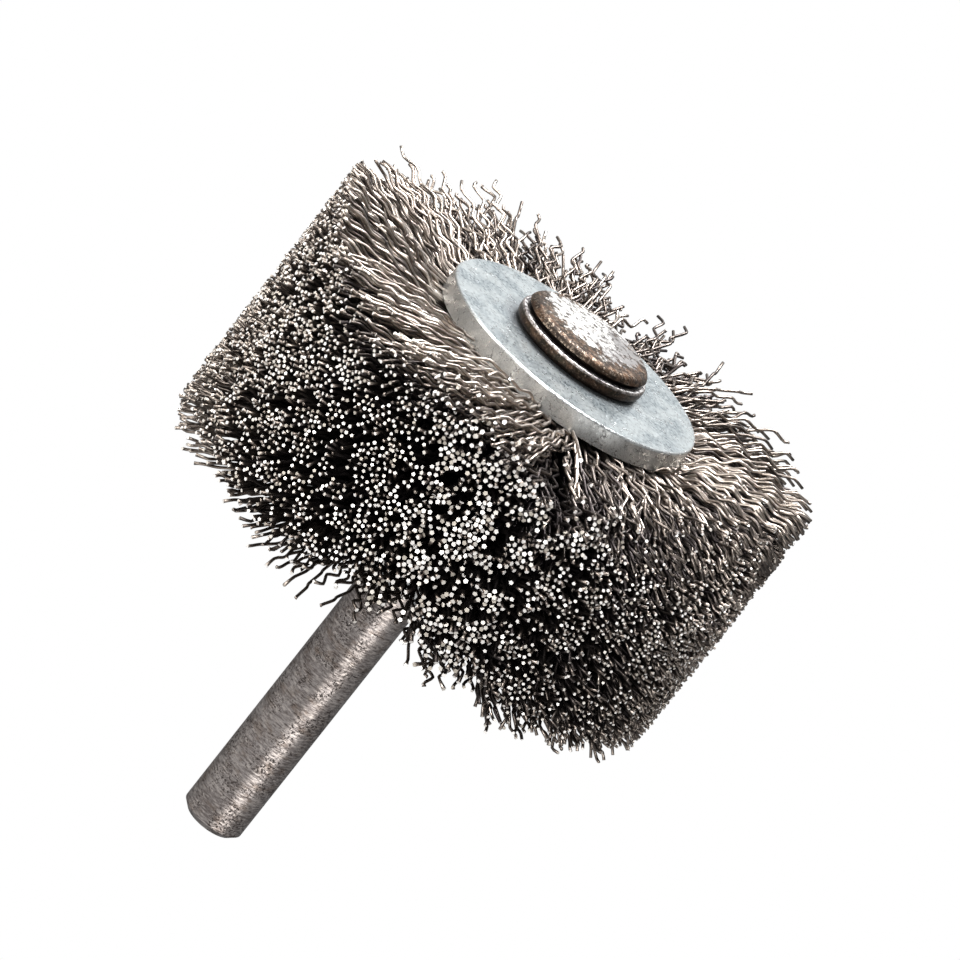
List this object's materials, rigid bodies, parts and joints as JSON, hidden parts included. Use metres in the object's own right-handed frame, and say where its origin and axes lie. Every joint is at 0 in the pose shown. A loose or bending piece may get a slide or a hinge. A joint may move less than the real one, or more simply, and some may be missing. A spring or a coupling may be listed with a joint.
{
  "type": "shank-mounted wire drum brush",
  "caption": "Drum of crimped steel wire clamped between flange washers on a plain round shank, spun in a drill or die grinder to clean, descale and deburr metal",
  "frame": {"origin": "centre of the shank's free end, which is the middle of the underside of the bounding box", "axes": "+Z runs along the axis of rotation from the shank's free end to the riveted front of the brush; the part is round about Z, so +X and +Y are any two directions across it"},
  "size_m": [0.05, 0.05, 0.0571],
  "materials": {
    "shank_steel": "turned grey-brown steel with fine rings, dark pits and a worn bright rivet head",
    "brown_steel": "brown oxidised steel, bright on its upper edge",
    "zinc_plate": "pale blue-grey zinc plate, satin, faintly mottled",
    "hub_steel": "plain mild steel",
    "wire_steel": "drawn crimped steel wire, warm grey, with bright cut ends"
  },
  "bodies": {
    "root": {"shank": "shank_steel", "rivet_washer": "brown_steel", "front_flange": "zinc_plate", "rear_flange": "zinc_plate", "hub_sleeve": "hub_steel", "core_ring_1": "hub_steel", "core_ring_2": "hub_steel", "core_ring_3": "hub_steel", "core_ring_4": "hub_steel", "core_ring_5": "hub_steel", "core_ring_6": "hub_steel", "wire_section_1": "wire_steel", "wire_section_2": "wire_steel", "wire_section_3": "wire_steel", "wire_section_4": "wire_steel", "wire_section_5": "wire_steel", "wire_section_6": "wire_steel"}
  },
  "joints": []
}
